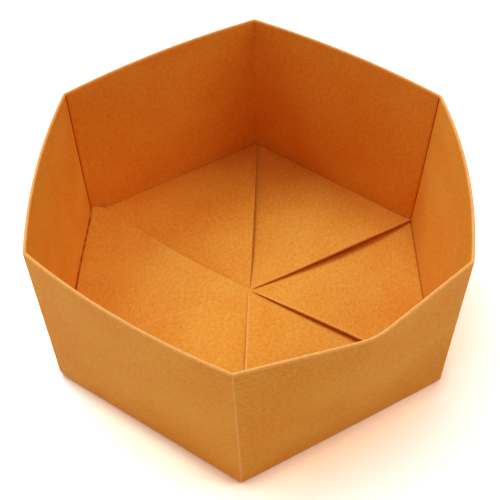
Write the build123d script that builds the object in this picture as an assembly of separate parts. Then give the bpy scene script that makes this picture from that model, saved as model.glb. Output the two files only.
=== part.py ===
from build123d import *
import os
from math import cos, radians, sin

# Driving dimensions, in millimetres.
PAPER = 0.3            # one layer of kraft paper
SIDE = 60.0            # one side of the hexagon along the base, outside
HEIGHT = 51.0          # base to the folded rim
CENTRE_RISE = 0.9      # height of the floor's centre over its edges, where the flaps pile up
CENTRE_FORWARD = 1.6   # how far the floor's centre lies in front of the middle of the hexagon

# The strip is doubled over at the rim, so a wall is two layers.
WALL = 2 * PAPER
# Folds are eased by a share of the paper's thickness.
FOLD_EASE = 0.6 * PAPER

# Hand folding: each corner lies this much further out, and this much further round counter-clockwise,
# than in an even hexagon, at the base and at the rim.
CORNERS = ["front", "right_front", "right_back", "back", "left_back", "left_front"]
BASE_LEAN = {"front": 0.9, "right_front": 1.0, "right_back": -1.7,
             "back": 2.0, "left_back": -0.5, "left_front": -0.3}
BASE_SWING = {"front": -0.2, "right_front": 0.7, "right_back": -1.5,
              "back": -0.5, "left_back": 1.4, "left_front": 0.8}
RIM_LEAN = {"front": -1.0, "right_front": -0.5, "right_back": -1.0,
            "back": 1.5, "left_back": -2.0, "left_front": -1.5}
RIM_SWING = {"front": -1.5, "right_front": 2.0, "right_back": -1.0,
             "back": 0.0, "left_back": 2.0, "left_front": -1.5}

# Each wall runs counter-clockwise from the corner at the same place in the list above.
WALLS = ["front_right", "right", "back_right", "back_left", "left", "front_left"]
# Spring of the paper: how far the middle of each wall's rim bows outward.
RIM_BOW = {"front_right": 6.5, "right": 3.0, "back_right": 2.0,
           "back_left": 2.0, "left": 2.2, "front_left": 2.2}
# The ends of the strip lap in this wall, which bends at the end of the lap, at its middle.
LAPPED_WALL = "front_right"
# How far each floor flap's free edge springs up off the flap below.
FLAP_LIFT = {"front_right": 1.4, "right": 2.0, "back_right": 2.4,
             "back_left": 1.8, "left": 1.2, "front_left": 0.9}


def corner(index, inset, height):
    """A corner of the hexagon at some height, its two walls set in by the inset."""
    turn = radians(60 * index - 90)
    outward = Vector(cos(turn), sin(turn), 0)
    sideways = Vector(-sin(turn), cos(turn), 0)
    name = CORNERS[index % 6]
    share = height / HEIGHT
    lean = BASE_LEAN[name] * (1 - share) + RIM_LEAN[name] * share
    swing = BASE_SWING[name] * (1 - share) + RIM_SWING[name] * share
    reach = SIDE - inset / cos(radians(30)) + lean
    return outward * reach + sideways * swing + Vector(0, 0, height)


def outline(height, inset):
    """The hexagon at some height: straight at the base, and bowed outward more and more up to the rim."""
    runs = []
    for index, wall in enumerate(WALLS):
        start = corner(index, inset, height)
        end = corner(index + 1, inset, height)
        outward = (end - start).cross(Vector(0, 0, 1)).normalized()
        bow = RIM_BOW[wall] * height / HEIGHT
        # One pull makes an even curve; four gather it into a bend between two nearly flat halves.
        pulls = 4 if wall == LAPPED_WALL else 1
        pull = (start + end) / 2 + outward * bow / (1 - 0.5 ** pulls)
        runs.append(Bezier(start, *[pull] * pulls, end))
    return Face(Wire(runs))


def walls():
    """The six doubled walls, their folds eased along the base and along both sides of the rim."""
    shoulder = HEIGHT - FOLD_EASE
    outside = loft([outline(0, FOLD_EASE), outline(FOLD_EASE, 0), outline(shoulder, 0),
                    outline(HEIGHT, FOLD_EASE)], ruled=True)
    inside = loft([outline(0, WALL), outline(shoulder, WALL), outline(HEIGHT, WALL - FOLD_EASE)],
                  ruled=True)
    return outside - inside


def floor_flap(index):
    """One flap of the twisted floor, from its wall to the centre, with the sheet that is folded under it."""
    raised = Vector(0, 0, PAPER)
    free = corner(index, WALL / 4, 0) + raised
    tucked = corner(index + 1, WALL / 4, 0) + raised
    centre = Vector(0, -CENTRE_FORWARD, CENTRE_RISE) + raised
    pleat = (tucked + centre) / 2
    # The flap bends as a cone from its tucked corner to its free edge, which arches most near the wall.
    lift = FLAP_LIFT[WALLS[index]]
    third = (centre - free) / 3
    arch = Bezier(free, free + third + Vector(0, 0, 1.7 * lift),
                  centre - third + Vector(0, 0, 0.9 * lift), centre)
    down = Vector(0, 0, -SIDE)
    # The bend is made of eight flat strips.
    edge_points = [arch @ (step / 8) for step in range(9)]
    section = Face(Wire.make_polygon([free + down, *edge_points, centre + down]))
    below = loft([Vertex(*tucked), section], ruled=True)
    layer = Pos(0, 0, -PAPER)
    flap = below - layer * below
    # The tail runs on under the neighbouring flap.
    inward = Vector(0, 0, 1).cross(tucked - free)
    tail_tip = tucked + inward * cos(radians(30))
    tail = extrude(Face(Wire.make_polygon([tucked, tail_tip, centre])), amount=PAPER, dir=(0, 0, -1))
    # The free edge is a fold: the sheet doubles back under the flap as far as the pleat.
    reach = Face(Wire.make_polygon([Vector(point.X, point.Y, 0) for point in (free, pleat, centre)]))
    doubled = (below - layer * layer * below) & extrude(reach, amount=SIDE)
    # At the pleat the sheet drops to the tail of the next flap.
    foot = Face(Wire.make_polygon([Vector(free.X, free.Y, 0), Vector(pleat.X, pleat.Y, 0),
                                   Vector(pleat.X, pleat.Y, SIDE), Vector(free.X, free.Y, SIDE)]))
    drop = extrude(foot, amount=PAPER, dir=Vector(0, 0, 1).cross(pleat - free).normalized()) & below
    return flap + tail + doubled + drop


box = walls()
for index in range(6):
    box = box + floor_flap(index)

os.makedirs("parts", exist_ok=True)
export_step(box, "parts/folded_box.step")
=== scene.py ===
from math import cos, pi, radians, sin

import bmesh
import bpy
import numpy as np
from mathutils import Matrix, Vector


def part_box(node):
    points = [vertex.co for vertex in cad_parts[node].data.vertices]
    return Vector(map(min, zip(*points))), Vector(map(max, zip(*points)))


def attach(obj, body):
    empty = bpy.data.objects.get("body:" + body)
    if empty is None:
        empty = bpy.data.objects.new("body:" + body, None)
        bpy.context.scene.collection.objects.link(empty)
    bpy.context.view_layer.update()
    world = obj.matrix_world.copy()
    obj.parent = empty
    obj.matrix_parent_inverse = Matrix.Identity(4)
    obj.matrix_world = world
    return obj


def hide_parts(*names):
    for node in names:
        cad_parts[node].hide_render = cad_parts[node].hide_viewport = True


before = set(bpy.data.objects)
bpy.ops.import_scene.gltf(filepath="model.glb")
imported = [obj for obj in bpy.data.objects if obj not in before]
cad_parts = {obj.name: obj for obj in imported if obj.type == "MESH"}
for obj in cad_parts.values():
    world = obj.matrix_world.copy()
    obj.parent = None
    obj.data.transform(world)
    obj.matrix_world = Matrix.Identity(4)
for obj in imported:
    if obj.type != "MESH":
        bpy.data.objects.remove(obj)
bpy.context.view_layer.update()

MM = 0.001
NODE = "folded_box"

# The paper and the box, as in the solid. What is listed by corner or by wall is in millimetres.
PAPER = 0.3 * MM
SIDE = 60.0 * MM
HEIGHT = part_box(NODE)[1].z
CENTRE_RISE = 0.9 * MM
CENTRE_FORWARD = 1.6 * MM
CORNERS = ["front", "right_front", "right_back", "back", "left_back", "left_front"]
BASE_LEAN = {"front": 0.9, "right_front": 1.0, "right_back": -1.7,
             "back": 2.0, "left_back": -0.5, "left_front": -0.3}
BASE_SWING = {"front": -0.2, "right_front": 0.7, "right_back": -1.5,
              "back": -0.5, "left_back": 1.4, "left_front": 0.8}
RIM_LEAN = {"front": -1.0, "right_front": -0.5, "right_back": -1.0,
            "back": 1.5, "left_back": -2.0, "left_front": -1.5}
RIM_SWING = {"front": -1.5, "right_front": 2.0, "right_back": -1.0,
             "back": 0.0, "left_back": 2.0, "left_front": -1.5}
WALLS = ["front_right", "right", "back_right", "back_left", "left", "front_left"]
RIM_BOW = {"front_right": 6.5, "right": 3.0, "back_right": 2.0,
           "back_left": 2.0, "left": 2.2, "front_left": 2.2}
LAPPED_WALL = "front_right"
LAPPED_PULLS = 4                # gathers that wall's curve into a bend at its middle
EDGE_ARCH = (1.7, 0.9)          # how a free edge's lift is spread: near the wall, and near the centre

# How the sheet is folded: heights and radii are those of its middle surface.
LOWEST = PAPER / 2
STACK = 2 * PAPER               # a flap's free edge lies on two layers
STACK_RUN = 2.5 * MM            # how far along the wall a free corner's stack is felt
CENTRE_RUN = 1.5 * MM           # how near the centre the free edges come down off their stacks
CENTRE_GAP = 0.2 * MM           # how far short of the centre they end
FOLD_RADIUS = 0.57 * PAPER      # a sheet folded back on itself and pressed flat
PRESSED = 0.3                   # the share of that radius that is left at both ends of a free edge
OPENING = 8                     # how soon from either end the whole radius is reached: more is sooner
SPRUNG = 0.08                   # how much the radius grows past that, as a share of the free edge's lift
RIM_RADIUS = 0.8 * PAPER        # the fold along the rim
BASE_RADIUS = PAPER             # the turn from wall to floor
CREASE = 0.2 * MM               # half the width of an upright crease outside
GROOVE = 0.45 * MM              # and inside, where the inner layer is pinched in
GROOVE_END = 0.6 * MM           # how far under the rim the groove starts
HEM_GAP = 0.5 * MM              # air under the inner layer of a wall whose hem is fully open
HEM_SPRING = 0.2 * MM           # how far the hem's cut edge springs off the outer layer
HEM_CURL = 4                    # how near the cut edge that spring is: more is nearer
SLIP_RUN = 1.0 * MM             # how soon a free edge that has slipped is clear of its corner
FLAP_DRAW = 6                   # how near its wall a flap is held down to the wall's foot: more is nearer
TAIL_DROP = 3                   # how soon a flap's tail comes down to the lowest layer: more is sooner

# What differs from corner to corner: how deep each inner groove is and how dark its painted shade is, as a
# share of the deepest, and how far each base corner is pressed in, in millimetres.
GROOVE_AND_SHADE = {"left_back": 1.0, "right_back": 1.0, "back": 0.1}
BLUNT = {"left_front": 1.0, "right_front": 0.5, "left_back": 2.0}
# What differs from wall to wall: how open each hem is and how dark the painted shade under it is, as a share
# of the widest, and how far the middle of each base bows outward, in millimetres.
HEM = {"front_right": 0.5, "right": 0.6, "back_right": 0.25,
       "back_left": 0.25, "left": 1.0, "front_left": 0.5}
BASE_BOW = {"left": 1.0}
# What differs from flap to flap, in millimetres: how far each free edge springs up off the layers that it
# lies on, how far along the next wall it starts, and how far its middle bows out over the next flap.
FLAP_LIFT = {"front_right": 0.6, "right": 1.8, "back_right": 2.2,
             "back_left": 2.3, "left": 0.9, "front_left": 0.3}
FLAP_SLIP = {"left": 4.0, "front_left": 6.0}
FLAP_LAP = {"back_right": 1.2, "left": -1.9}

# How finely the sheet is divided.
WALL_STEPS = 40
CREASE_STEPS = 4
UPRIGHT_STEPS = 24
FOLD_STEPS = 6
TAIL_STEPS = 8
CURVE_POINTS = 241              # points along a wall's curve that its length is measured on
JOIN_DISTANCE = 0.002 * MM      # borders of two patches that lie closer than this are one
SHARP_ANGLE = 40                # faces that meet at more degrees than this don't shade into each other

# The paper's colours, from its darkest to its lightest, and how much each pattern on it lightens it, or
# darkens it where the amount is below 0.
PAPER_DARK = (0.75, 0.2, 0.006, 1)
PAPER_LIGHT = (0.87, 0.445, 0.068, 1)
MIDDLE = 0.5                    # the plain paper's place between the two
GRAIN = 0.17
MOTTLE = 0.17
CLOUDS = 0.1
LIGHT_FIBRES = 0.14
DARK_FIBRES = -0.18
# How much lighter or darker each flap's paper is painted than the rest of the sheet: painted light and
# shade, for the light that falls unevenly on the flaps.
FLAP_PAINTED_LIGHT = {"front_right": 0.05, "back_left": -0.05, "left": 0.11, "front_left": 0.04}

# The folds' marks: above 0 where the paper is rubbed pale and given a painted highlight, and below 0 where it
# is darkened with painted shade.
RUB_AND_HIGHLIGHT_COLOUR = (0.97, 0.48, 0.14, 1)
RUB_AND_HIGHLIGHT_SHARE = (0.5, 0.9)       # how far the paper turns to that colour, from place to place
# The colour of the painted shade in the grooves and under open hems, and how far the paper turns to it.
PAINTED_SHADE_COLOUR = (0.5, 0.04, 0.0, 1)
PAINTED_SHADE_SHARE = 0.95             # how far the paper turns to that colour
BASE_RUB = 0.5                  # the mark on the corners of the base
HEM_RUB = 0.3                   # the rubbed pale mark on the cut edge of a closed hem; that of an open one is -1, painted shade
HEM_SHADE = 0.95 * MM           # how far the painted shade under an open hem reaches onto the floor
HEM_BLUR = 0.1                  # how softly that dark ends, as a share of its reach
# The mark on each flap's free edge: rubbed pale, and partly a painted highlight where the edge catches the
# light.
FLAP_RUB_AND_HIGHLIGHT = {"front_right": 1.0, "right": 0.7, "back_right": 0.5,
            "back_left": 0.2, "left": 0.4, "front_left": 0.5}

# The paper's surface.
PAPER_GLOSS = 0.05
PAPER_ROUGHNESS = (0.55, 0.65)  # from place to place, with the mottle
BUMP_STRENGTH = 0.4
BUMP_HEIGHT = 0.0025 * MM
FIBRE_BUMP = 0.5                # how high the light fibres stand, as a share of the other bumps

# The table, with its size in metres. Its glow washes it out to white where it is seen or mirrored; near the
# box the glow is dimmer and warmer, a painted shadow to the left and right of the box and close against its
# foot.
TABLE_SIZE = 3.0
TABLE_GAP = 0.05 * MM
TABLE_COLOUR = (0.95, 0.95, 0.95, 1)
TABLE_ROUGHNESS = 0.9
TABLE_GLOW = (0.68, 0.68, 0.68, 1)
SHADE_LEFT = (0.6, 0.55, 0.34, 1)
SHADE_RIGHT = (0.5, 0.16, 0.02, 1)
SHADE_REACH = 32 * MM
SHADE_TURN = SIDE / 3           # how far to each side of the box's middle the two shades blend
SHADE_SAMPLES = 16
CONTACT_SHADE = (0.1, 0.02, 0.005, 1)
CONTACT_REACH = 4 * MM

# How the room looks, what light it gives, and each lamp's place, size, power and colour, in metres and watts.
ROOM_SEEN = (1, 1, 1, 1)
ROOM_LIGHT = (0.096, 0.056, 0.05, 1)
LIGHTS = {"top": ((-0.03, 0.3, 1.16), 1.0, 3.7, (0.8, 0.84, 1)),
          "back_left": ((-0.51, 0.51, 0.96), 0.6, 9.9, (0.54, 0.77, 1)),
          "right": ((0.83, 0.1, 0.86), 0.8, 5.8, (1, 0.98, 0.8)),
          "left": ((-1.0, 0.1, 0.66), 1.0, 3.4, (1, 0.9, 0.7)),
          "front_top": ((0, -0.6, 1.05), 0.6, 1.3, (1, 0.62, 0.35)),
          "front_low": ((0, -1.18, 0.2), 0.4, 0.85, (1, 0.8, 0.9)),
          "front_left_low": ((-0.8, -0.85, 0.2), 0.4, 0.83, (1, 0.98, 0.98))}

# The camera: angles in degrees, and the lens in millimetres on the sensor's width.
CAMERA_AZIMUTH = 2.07
CAMERA_ELEVATION = 51.71
CAMERA_ROLL = -0.55
CAMERA_DISTANCE = 249.25 * MM
CAMERA_ASIDE = 0.14 * MM
CAMERA_ABOVE = 11.33 * MM
CAMERA_NEAR = 10 * MM
CAMERA_SENSOR = 36.0
CAMERA_LENS = 60.22


def even_steps(crease):
    """Places along a wall from one crease to the next, with a narrow step beside each crease."""
    edge = crease / SIDE
    inner = np.linspace(2 * edge, 1 - 2 * edge, WALL_STEPS - 1)
    return np.concatenate([[edge], inner, [1 - edge]])


STEPS = even_steps(CREASE)
# The same places as shares of the way from the tucked corner to the free one.
SHARES = (1 - STEPS) / (1 - STEPS[0])


def end_corner(index):
    """The name of the corner where a wall ends."""
    return CORNERS[(index + 1) % 6]


def corner(index, share, inset):
    """A corner of the hexagon in plan, at a share of the height, its two walls set in by the inset."""
    turn = radians(60 * index - 90)
    outward = np.array([cos(turn), sin(turn)])
    sideways = np.array([-sin(turn), cos(turn)])
    name = CORNERS[index % 6]
    lean = BASE_LEAN[name] * (1 - share) + RIM_LEAN[name] * share
    swing = BASE_SWING[name] * (1 - share) + RIM_SWING[name] * share
    reach = SIDE - inset / cos(radians(30)) + lean * MM
    return outward * reach + sideways * swing * MM


def wall_line(index, share, inset, steps):
    """The points of one wall in plan, at even steps along its curve."""
    wall = WALLS[index]
    start = corner(index, share, inset)
    end = corner(index + 1, share, inset)
    along = end - start
    outward = np.array([along[1], -along[0]]) / np.linalg.norm(along)
    pulls = LAPPED_PULLS if wall == LAPPED_WALL else 1
    bow = RIM_BOW[wall] * share + BASE_BOW.get(wall, 0) * (1 - share)
    pull = (start + end) / 2 + outward * bow * MM / (1 - 0.5 ** pulls)

    def curve(u):
        """Points from the start to the end, drawn out toward the pull on the way."""
        first = (1 - u) ** (pulls + 1)
        last = u ** (pulls + 1)
        return np.outer(first, start) + np.outer(last, end) + np.outer(1 - first - last, pull)

    fine = np.linspace(0, 1, CURVE_POINTS)
    lengths = np.linalg.norm(np.diff(curve(fine), axis=0), axis=1)
    run = np.concatenate([[0], np.cumsum(lengths)])
    return curve(np.interp(steps * run[-1], run, fine))


def ring(share, inset, grooved=False):
    """All six walls in plan, back to the first point: creases are rounded, or pinched into a groove."""
    steps = even_steps(GROOVE if grooved else CREASE)
    lines = [wall_line(index, share, inset, steps) for index in range(6)]
    points = []
    for index, line in enumerate(lines):
        points.extend(line)
        ahead = lines[(index + 1) % 6][0]
        pinch = GROOVE_AND_SHADE.get(end_corner(index), 0) if grooved else 0
        tip = corner(index + 1, share, inset + (LOWEST + 2 * FOLD_RADIUS - inset) * pinch)
        reach = tip - (line[-1] + ahead) / 2
        # A rounded crease goes half of the way to its tip, and a pinched one all the way.
        for step in range(1, CREASE_STEPS):
            v = step / CREASE_STEPS
            points.append((1 - v) * line[-1] + v * ahead + (2 + 2 * pinch) * v * (1 - v) * reach)
    return np.array(points + [points[0]])


def ring_values(along_wall, in_crease):
    """One value for each point of a ring, from a wall's values and from a function of the crease."""
    values = []
    for index in range(6):
        values.extend(along_wall(index))
        values.extend(in_crease(index, step / CREASE_STEPS) for step in range(1, CREASE_STEPS))
    return np.array(values + [values[0]])


def base_rise(index):
    """How far a wall's lower fold stands over the lowest layer, along the wall."""
    near_start = np.exp(-STEPS * SIDE / STACK_RUN)
    near_end = np.exp(-(1 - STEPS) * SIDE / STACK_RUN)
    at_start = STACK + BLUNT.get(CORNERS[index], 0) * MM
    at_end = BLUNT.get(end_corner(index), 0) * MM
    return at_start * near_start + at_end * near_end


def crease_rise(index, v):
    """The same round the crease at the end of a wall."""
    return (1 - v) * base_rise(index)[-1] + v * base_rise((index + 1) % 6)[0]


class Sheet:
    """The paper's middle surface, as patches of points that are joined where their borders meet."""

    def __init__(self):
        self.mesh = bmesh.new()
        self.flat = self.mesh.loops.layers.uv.new("flat")
        self.fold = self.mesh.verts.layers.float.new("fold")
        self.hem = self.mesh.verts.layers.float.new("hem")
        self.painted_light = self.mesh.verts.layers.float.new("painted_light")

    def patch(self, points, flats, folds, hem=0, painted_light=0):
        """A grid of points, with each one's place on the flat strip in millimetres and its fold's mark.

        The hem says how open the one over the whole grid is, and the last value how much lighter or darker
        its paper is painted, for light that falls unevenly on it.
        """
        rows, columns = points.shape[:2]
        made = []
        for place, mark in zip(points.reshape(-1, 3), folds.reshape(-1)):
            vertex = self.mesh.verts.new(place)
            vertex[self.fold] = mark
            vertex[self.hem] = hem
            vertex[self.painted_light] = painted_light
            made.append(vertex)
        for row in range(rows - 1):
            for column in range(columns - 1):
                cell = [(row, column), (row, column + 1), (row + 1, column + 1), (row + 1, column)]
                face = self.mesh.faces.new([made[r * columns + c] for r, c in cell])
                face.smooth = True
                for loop, (r, c) in zip(face.loops, cell):
                    loop[self.flat].uv = flats[r, c]

    def solid(self, name):
        """The sheet joined up and given its thickness."""
        bmesh.ops.remove_doubles(self.mesh, verts=self.mesh.verts, dist=JOIN_DISTANCE)
        bmesh.ops.recalc_face_normals(self.mesh, faces=self.mesh.faces)
        thin = bpy.data.meshes.new(name)
        self.mesh.to_mesh(thin)
        self.mesh.free()
        piece = bpy.data.objects.new(name, thin)
        bpy.context.scene.collection.objects.link(piece)
        thick = piece.modifiers.new("thickness", "SOLIDIFY")
        thick.thickness = PAPER
        thick.offset = 0
        bpy.context.view_layer.update()
        seen = piece.evaluated_get(bpy.context.evaluated_depsgraph_get())
        piece.data = bpy.data.meshes.new_from_object(seen)
        piece.data.name = name
        piece.modifiers.clear()
        bpy.data.meshes.remove(thin)
        piece.data.set_sharp_from_angle(angle=radians(SHARP_ANGLE))
        return piece


def walls(sheet):
    """The doubled walls: the inner layer from its hem up, the rim fold, the outer layer and the base fold."""
    rise = ring_values(base_rise, crease_rise)
    run = ring_values(lambda index: (index + STEPS) * SIDE,
                      lambda index, v: (index + 1) * SIDE + (2 * v - 1) * CREASE)
    run[-1] = 6 * SIDE + run[0]
    crease = ring_values(lambda index: np.zeros(WALL_STEPS + 1), lambda index, v: 1.0)
    # Marks below 0 in the inner creases, for painted shade.
    groove = ring_values(lambda index: np.zeros(WALL_STEPS + 1),
                         lambda index, v: -GROOVE_AND_SHADE.get(end_corner(index), 0))
    hem = ring_values(lambda index: np.full(WALL_STEPS + 1, HEM[WALLS[index]]),
                      lambda index, v: (HEM[WALLS[index]] + HEM[WALLS[(index + 1) % 6]]) / 2)
    everywhere = np.ones(len(run))
    points, flats, folds = [], [], []

    def row(plan, heights, across, marks):
        """Adds one ring of points, with their places across the strip and their folds' marks."""
        points.append(np.column_stack([plan, heights]))
        flats.append(np.column_stack([run, across]) / MM)
        folds.append(marks)

    def spaced(steps):
        """Shares of the way between two folds, with a narrow step at each end."""
        edge = GROOVE_END / HEIGHT
        return np.concatenate([[0], np.linspace(edge, 1 - edge, steps - 1), [1]])

    fold_height = HEIGHT - PAPER / 2 - RIM_RADIUS
    foot = LOWEST + rise + PAPER / 2 + HEM_GAP * hem
    for part in spaced(UPRIGHT_STEPS):
        heights = foot + (fold_height - foot) * part
        inset = LOWEST + 2 * RIM_RADIUS + HEM_SPRING * (1 - part) ** HEM_CURL
        plan = ring(heights.mean() / HEIGHT, inset, grooved=part < 1)
        # Marks: the hem's cut edge is rubbed pale where closed and gets painted shade where open, the grooves
        # get painted shade, and the row under the rim is rubbed pale with a painted highlight.
        if part == 0:
            marks = HEM_RUB - (1 + HEM_RUB) * hem
        elif part == 1:
            marks = everywhere
        else:
            marks = groove
        row(plan, heights, 2 * HEIGHT - heights, marks)
    # The rim's fold is rubbed pale and given a painted highlight.
    for step in range(1, FOLD_STEPS):
        turn = pi * step / FOLD_STEPS
        height = fold_height + RIM_RADIUS * sin(turn)
        plan = ring(height / HEIGHT, LOWEST + RIM_RADIUS * (1 + cos(turn)))
        row(plan, height * everywhere, (HEIGHT + RIM_RADIUS * cos(turn)) * everywhere, everywhere)
    low = LOWEST + BASE_RADIUS + rise
    # The outer layer: its top and its upright creases are rubbed pale and given a painted highlight.
    for part in spaced(UPRIGHT_STEPS):
        heights = fold_height + (low - fold_height) * part
        row(ring(heights.mean() / HEIGHT, LOWEST), heights, heights, everywhere if part == 0 else crease)
    for step in range(1, FOLD_STEPS + 1):
        turn = pi / 2 * step / FOLD_STEPS
        plan = ring(0, LOWEST + BASE_RADIUS * (1 - cos(turn)))
        row(plan, low - BASE_RADIUS * sin(turn), low - BASE_RADIUS * turn, crease * BASE_RUB)
    sheet.patch(np.array(points), np.array(flats), np.array(folds))


def across(start, end, steps):
    """Points from one line of points to another, a column for each step."""
    shares = np.linspace(0, 1, steps + 1)[None, :, None]
    return start[:, None, :] * (1 - shares) + end[:, None, :] * shares


def half_turn(upper, lower, outward):
    """The fold between two lines of points, one over the other, bulging outward."""
    middle = (upper + lower) / 2
    reach = (upper - lower) / 2
    size = np.linalg.norm(reach, axis=1)[:, None]
    turns = [pi * step / FOLD_STEPS for step in range(FOLD_STEPS + 1)]
    return np.stack([middle + reach * cos(turn) + outward * size * sin(turn) for turn in turns], axis=1)


def upright(point, height):
    """A point in plan at some height."""
    return np.array([point[0], point[1], height])


def unit(vector):
    """A direction of length one."""
    return vector / np.linalg.norm(vector)


def left_of(direction):
    """A level direction turned a quarter counter-clockwise."""
    return np.array([-direction[1], direction[0], 0])


def floor_panel(sheet, index):
    """One panel's share of the floor: its flap, the tail past its tucked edge, and its folded free edge."""
    wall = WALLS[index]
    inset = LOWEST + BASE_RADIUS
    free = upright(corner(index, 0, inset), LOWEST)
    tucked = upright(corner(index + 1, 0, inset), LOWEST)
    before = upright(corner(index - 1, 0, inset), LOWEST)
    centre = upright((0, -CENTRE_FORWARD), LOWEST)
    along = unit(tucked - free)
    inward = left_of(along)
    side = np.linalg.norm(tucked - free)
    edge_way = unit(centre - free)
    edge_length = np.linalg.norm(centre - free)
    pleat_end = (tucked + centre) / 2
    tail_tip = tucked + inward * side * cos(radians(30))

    def flat(points, folded=False):
        """Places on the flat strip, where what is folded back lies mirrored past the free edge."""
        places = points - free
        if folded:
            places = 2 * (places @ edge_way)[..., None] * edge_way - places
        return np.stack([index * SIDE + places @ along, -places @ inward], axis=-1) / MM

    # The free edge starts at its corner, or slips along the next wall, and may bow over the next flap.
    reach = SHARES[::-1]
    edge = free + np.outer(reach * (edge_length - CENTRE_GAP), edge_way)
    slip = FLAP_SLIP.get(wall, 0) * MM * (1 - reach) * (1 - np.exp(-reach * edge_length / SLIP_RUN))
    edge += np.outer(slip, unit(before - free))
    edge += np.outer(FLAP_LAP.get(wall, 0) * MM * 4 * reach * (1 - reach), left_of(edge_way))
    # It arches up off the flap below it, most of all near the wall.
    near_wall, near_centre = EDGE_ARCH
    arch = 3 * (1 - reach) ** 2 * reach * near_wall + 3 * (1 - reach) * reach ** 2 * near_centre
    lift = FLAP_LIFT[wall] * MM * arch
    edge[:, 2] = LOWEST + CENTRE_RISE * reach + lift
    edge[:, 2] += STACK * (1 - np.exp(-(1 - reach) * edge_length / CENTRE_RUN))
    edge[:, 2] += BLUNT.get(CORNERS[index], 0) * MM * np.exp(-reach * edge_length / STACK_RUN)
    wall_edge = np.column_stack([wall_line(index, 0, inset, STEPS), LOWEST + base_rise(index)])
    edge[0] = wall_edge[0]

    # The flap bends as a cone from its tucked corner to its free edge, and is drawn down along the wall.
    flap = tucked + SHARES[:, None, None] * (edge - tucked)[None, :, :]
    drawn = (1 - reach) ** FLAP_DRAW
    flap[:, :, :2] += (wall_edge - flap[:, 0])[:, None, :2] * drawn[None, :, None]
    flap[:, :, 2] = np.outer(wall_edge[:, 2], drawn) + flap[:, :, 2] * (1 - drawn)
    flap[:, 0] = wall_edge
    flap[0] = edge
    # The flap's free edge is rubbed pale and given a painted highlight.
    folds = np.zeros(flap.shape[:2])
    folds[0, :] = FLAP_RUB_AND_HIGHLIGHT[wall]
    # Places across the strip are measured from the wall's foot, which may be bowed.
    places = flat(flap)
    places[:, :, 1] -= places[:, :1, 1]
    sheet.patch(flap, places, folds, HEM[wall], FLAP_PAINTED_LIGHT.get(wall, 0))

    # The tail runs on under the neighbouring flap, down to the lowest layer.
    shares = np.linspace(0, 1, TAIL_STEPS + 1)
    tail_end = edge[-1] + np.outer(shares, tail_tip - edge[-1])
    tail_end[:, 2] = LOWEST + (edge[-1][2] - LOWEST) * (1 - shares) ** TAIL_DROP
    tail = tucked + SHARES[:, None, None] * (tail_end - tucked)[None, :, :]
    tail[:, 0] = flap[:, -1]
    sheet.patch(tail, flat(tail), np.zeros(tail.shape[:2]))

    # The free edge is a fold, open where the flap springs up and pressed flat near both its ends, and rubbed
    # pale with a painted highlight.
    opening = np.minimum(1, OPENING * reach * (1 - reach))
    radius = FOLD_RADIUS * (PRESSED + (1 - PRESSED) * opening) + SPRUNG * lift
    under = edge - np.outer(2 * radius, [0, 0, 1])
    nose = half_turn(edge, under, left_of(edge_way))
    nose_flat = np.repeat(flat(edge)[:, None, :], FOLD_STEPS + 1, axis=1)
    sheet.patch(nose, nose_flat, np.full(nose.shape[:2], FLAP_RUB_AND_HIGHLIGHT[wall]))
    pleat = free + np.outer(reach, pleat_end - free)
    pleat[:, 2] = LOWEST + 2 * FOLD_RADIUS
    fold_back = across(under, pleat, TAIL_STEPS)
    folds = np.zeros(fold_back.shape[:2])
    folds[:, 0] = FLAP_RUB_AND_HIGHLIGHT[wall]
    sheet.patch(fold_back, flat(fold_back, folded=True), folds)

    # At the pleat it turns into the tail of the panel before.
    below = pleat.copy()
    below[:, 2] = LOWEST
    turn = half_turn(pleat, below, -left_of(unit(pleat_end - free)))
    turn_flat = np.repeat(flat(pleat, folded=True)[:, None, :], FOLD_STEPS + 1, axis=1)
    sheet.patch(turn, turn_flat, np.zeros(turn.shape[:2]))


def paper_box():
    """The whole box, folded from one strip."""
    sheet = Sheet()
    walls(sheet)
    for index in range(6):
        floor_panel(sheet, index)
    return sheet.solid("paper_box")


def feed(tree, socket, value):
    """Give a node's input a plain value, or link another node's output to it."""
    if isinstance(value, bpy.types.NodeSocket):
        tree.links.new(value, socket)
    else:
        socket.default_value = value


def combine(tree, operation, first, second):
    """A socket with one step of arithmetic on two sockets or numbers."""
    made = tree.nodes.new("ShaderNodeMath")
    made.operation = operation
    feed(tree, made.inputs[0], first)
    feed(tree, made.inputs[1], second)
    return made.outputs["Value"]


def ranged(tree, value, low, high, new_low=0, new_high=1):
    """A socket with a value moved from one range to another and held inside it."""
    made = tree.nodes.new("ShaderNodeMapRange")
    feed(tree, made.inputs["Value"], value)
    feed(tree, made.inputs["From Min"], low)
    feed(tree, made.inputs["From Max"], high)
    feed(tree, made.inputs["To Min"], new_low)
    feed(tree, made.inputs["To Max"], new_high)
    return made.outputs["Result"]


def colour_mix(tree, factor, first, second):
    """A socket that runs from one colour to another as the factor runs from 0 to 1."""
    made = tree.nodes.new("ShaderNodeMix")
    made.data_type = "RGBA"
    feed(tree, made.inputs["Factor"], factor)
    feed(tree, made.inputs["A"], first)
    feed(tree, made.inputs["B"], second)
    return made.outputs["Result"]


def axis_of(tree, vector, axis):
    """A socket with one coordinate of a vector."""
    made = tree.nodes.new("ShaderNodeSeparateXYZ")
    feed(tree, made.inputs["Vector"], vector)
    return made.outputs[axis]


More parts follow.
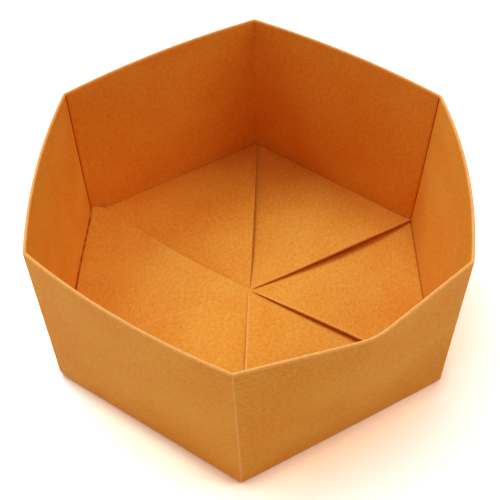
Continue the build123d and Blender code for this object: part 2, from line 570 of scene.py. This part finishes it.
def kraft_paper():
    """Brown kraft paper: soft mottling, fibres lying all ways, folds rubbed pale with a painted highlight,
    and painted shade in the grooves and under the hems.
    """
    material = bpy.data.materials.new("kraft_paper")
    material.use_nodes = True
    tree = material.node_tree
    shader = tree.nodes["Principled BSDF"]
    shader.inputs["Specular IOR Level"].default_value = PAPER_GLOSS

    # Places on the flat strip, in millimetres.
    strip = tree.nodes.new("ShaderNodeUVMap")
    strip.uv_map = "flat"

    def noise(scale, detail, roughness=0.5, stretch=(1, 1), turn=0):
        """A pattern with so many features to the millimetre, stretched and turned on the sheet."""
        place = tree.nodes.new("ShaderNodeMapping")
        feed(tree, place.inputs["Vector"], strip.outputs["UV"])
        feed(tree, place.inputs["Rotation"], (0, 0, radians(turn)))
        feed(tree, place.inputs["Scale"], (*stretch, 1))
        made = tree.nodes.new("ShaderNodeTexNoise")
        made.noise_dimensions = "2D"
        feed(tree, made.inputs["Vector"], place.outputs["Vector"])
        feed(tree, made.inputs["Scale"], scale)
        feed(tree, made.inputs["Detail"], detail)
        feed(tree, made.inputs["Roughness"], roughness)
        return made.outputs["Fac"]

    def both_ways(pattern):
        """A pattern, which lies mostly between these two values, spread out to run from -1 to 1."""
        return ranged(tree, pattern, 0.3, 0.7, -1, 1)

    def fibres(turn):
        """Scattered fibres that lie one way: the peaks of a stretched pattern."""
        return ranged(tree, noise(scale=2.6, detail=1, stretch=(0.3, 1), turn=turn), 0.6, 0.75)

    def marked(name):
        """What the sheet's points hold under a name."""
        made = tree.nodes.new("ShaderNodeAttribute")
        made.attribute_name = name
        return made.outputs["Fac"]

    grain = both_ways(noise(scale=3.0, detail=2, roughness=0.6))
    mottle = both_ways(noise(scale=1.1, detail=2, roughness=0.6, stretch=(0.8, 1)))
    clouds = both_ways(noise(scale=0.06, detail=3))
    light_fibres = combine(tree, "MAXIMUM", fibres(turn=12), fibres(turn=75))
    dark_fibres = fibres(turn=-40)
    # Each flap's painted light and shade moves its paper toward the lighter or the darker colour.
    shade = combine(tree, "ADD", marked("painted_light"), MIDDLE)
    for pattern, amount in ((grain, GRAIN), (mottle, MOTTLE), (clouds, CLOUDS),
                            (light_fibres, LIGHT_FIBRES), (dark_fibres, DARK_FIBRES)):
        shade = combine(tree, "ADD", shade, combine(tree, "MULTIPLY", pattern, amount))
    browns = tree.nodes.new("ShaderNodeValToRGB")
    browns.color_ramp.elements[0].color = PAPER_DARK
    browns.color_ramp.elements[1].color = PAPER_LIGHT
    feed(tree, browns.inputs["Fac"], shade)

    # Along ridge folds the surface is rubbed lighter, with a painted highlight; in the grooves and under the
    # hems it is darker with painted shade.
    fold = marked("fold")
    rub_and_highlight = ranged(tree, noise(scale=1.1, detail=2), 0.35, 0.65, *RUB_AND_HIGHLIGHT_SHARE)
    ridge_rub_and_highlight = combine(tree, "MULTIPLY", combine(tree, "MAXIMUM", fold, 0), rub_and_highlight)
    groove = combine(tree, "MULTIPLY", combine(tree, "MINIMUM", fold, 0), -1)
    # Painted shade on the floor, just past the foot of an open hem.
    shade_end = -HEM_SHADE / MM
    near_foot = ranged(tree, axis_of(tree, strip.outputs["UV"], "Y"),
                       shade_end * (1 + HEM_BLUR), shade_end * (1 - HEM_BLUR))
    painted_hem_shade = combine(tree, "MULTIPLY", near_foot, marked("hem"))
    painted_shade = combine(tree, "MULTIPLY", combine(tree, "MAXIMUM", groove, painted_hem_shade), PAINTED_SHADE_SHARE)
    colour = colour_mix(tree, ridge_rub_and_highlight, browns.outputs["Color"], RUB_AND_HIGHLIGHT_COLOUR)
    colour = colour_mix(tree, painted_shade, colour, PAINTED_SHADE_COLOUR)
    feed(tree, shader.inputs["Base Color"], colour)

    feed(tree, shader.inputs["Roughness"], ranged(tree, mottle, -1, 1, *PAPER_ROUGHNESS))
    raised_fibres = combine(tree, "MULTIPLY", light_fibres, FIBRE_BUMP)
    relief = combine(tree, "ADD", noise(scale=3.0, detail=2), raised_fibres)
    bump = tree.nodes.new("ShaderNodeBump")
    feed(tree, bump.inputs["Strength"], BUMP_STRENGTH)
    feed(tree, bump.inputs["Distance"], BUMP_HEIGHT)
    feed(tree, bump.inputs["Height"], relief)
    feed(tree, shader.inputs["Normal"], bump.outputs["Normal"])
    return material


def seen_as_background(tree):
    """A socket that is 1 for rays that show the background itself and 0 for rays that light the box."""
    path = tree.nodes.new("ShaderNodeLightPath")
    total = path.outputs["Is Camera Ray"]
    for name in ("Is Glossy Ray", "Is Transmission Ray"):
        total = combine(tree, "MAXIMUM", total, path.outputs[name])
    return total


def openness(tree, reach):
    """A socket that falls from 1 to 0 at the foot of the box, where an upright wall hides half the view."""
    made = tree.nodes.new("ShaderNodeAmbientOcclusion")
    made.samples = SHADE_SAMPLES
    feed(tree, made.inputs["Distance"], reach)
    return ranged(tree, made.outputs["AO"], 0.5, 1)


def table():
    """A white table top, washed out to white but for the box's soft, warm shadow: cast by the lamps, and
    painted into the glow.
    """
    half = TABLE_SIZE / 2
    mesh = bpy.data.meshes.new("table")
    ends = [(-half, -half), (half, -half), (half, half), (-half, half)]
    mesh.from_pydata([(x, y, -TABLE_GAP) for x, y in ends], [], [range(4)])
    made = bpy.data.objects.new("table", mesh)
    bpy.context.scene.collection.objects.link(made)
    material = bpy.data.materials.new("white_table")
    material.use_nodes = True
    tree = material.node_tree
    shader = tree.nodes["Principled BSDF"]
    shader.inputs["Base Color"].default_value = TABLE_COLOUR
    shader.inputs["Roughness"].default_value = TABLE_ROUGHNESS
    shader.inputs["Specular IOR Level"].default_value = 0
    place = tree.nodes.new("ShaderNodeNewGeometry")
    sideways = axis_of(tree, place.outputs["Position"], "X")
    # The glow is dimmed and tinted near the box by its openness: a painted shadow.
    shade = colour_mix(tree, ranged(tree, sideways, -SHADE_TURN, SHADE_TURN), SHADE_LEFT, SHADE_RIGHT)
    glow = colour_mix(tree, openness(tree, SHADE_REACH), shade, TABLE_GLOW)
    glow = colour_mix(tree, openness(tree, CONTACT_REACH), CONTACT_SHADE, glow)
    feed(tree, shader.inputs["Emission Color"], glow)
    feed(tree, shader.inputs["Emission Strength"], seen_as_background(tree))
    mesh.materials.append(material)


def surroundings():
    """A dim room that shows as plain white."""
    world = bpy.data.worlds.new("studio")
    bpy.context.scene.world = world
    world.use_nodes = True
    tree = world.node_tree
    room = colour_mix(tree, seen_as_background(tree), ROOM_LIGHT, ROOM_SEEN)
    feed(tree, tree.nodes["Background"].inputs["Color"], room)


def soft_light(name, place, size, power, colour):
    """A round soft light that faces the box."""
    data = bpy.data.lights.new(name, "AREA")
    data.shape = "DISK"
    data.size = size
    data.energy = power
    data.color = colour
    made = bpy.data.objects.new(name, data)
    made.location = place
    made.rotation_mode = "QUATERNION"
    made.rotation_quaternion = (-Vector(place)).to_track_quat("-Z", "Y")
    bpy.context.scene.collection.objects.link(made)


def camera():
    """The place that the photograph was taken from."""
    azimuth = radians(CAMERA_AZIMUTH)
    elevation = radians(CAMERA_ELEVATION)
    roll = radians(CAMERA_ROLL)
    back = Vector((sin(azimuth) * cos(elevation), -cos(azimuth) * cos(elevation), sin(elevation)))
    level = Vector((cos(azimuth), sin(azimuth), 0))
    rise = back.cross(level)
    right = level * cos(roll) + rise * sin(roll)
    up = rise * cos(roll) - level * sin(roll)
    data = bpy.data.cameras.new("camera")
    data.sensor_width = CAMERA_SENSOR
    data.lens = CAMERA_LENS
    data.clip_start = CAMERA_NEAR
    made = bpy.data.objects.new("camera", data)
    place = back * CAMERA_DISTANCE + right * CAMERA_ASIDE + up * CAMERA_ABOVE
    made.matrix_world = Matrix.Translation(place) @ Matrix((right, up, back)).transposed().to_4x4()
    bpy.context.scene.collection.objects.link(made)
    bpy.context.scene.camera = made


box = paper_box()
box.data.materials.append(kraft_paper())
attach(box, "root")
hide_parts(NODE)
table()
surroundings()
for light, (place, size, power, colour) in LIGHTS.items():
    soft_light(light, place, size, power, colour)
camera()
bpy.context.scene.view_settings.view_transform = "Standard"
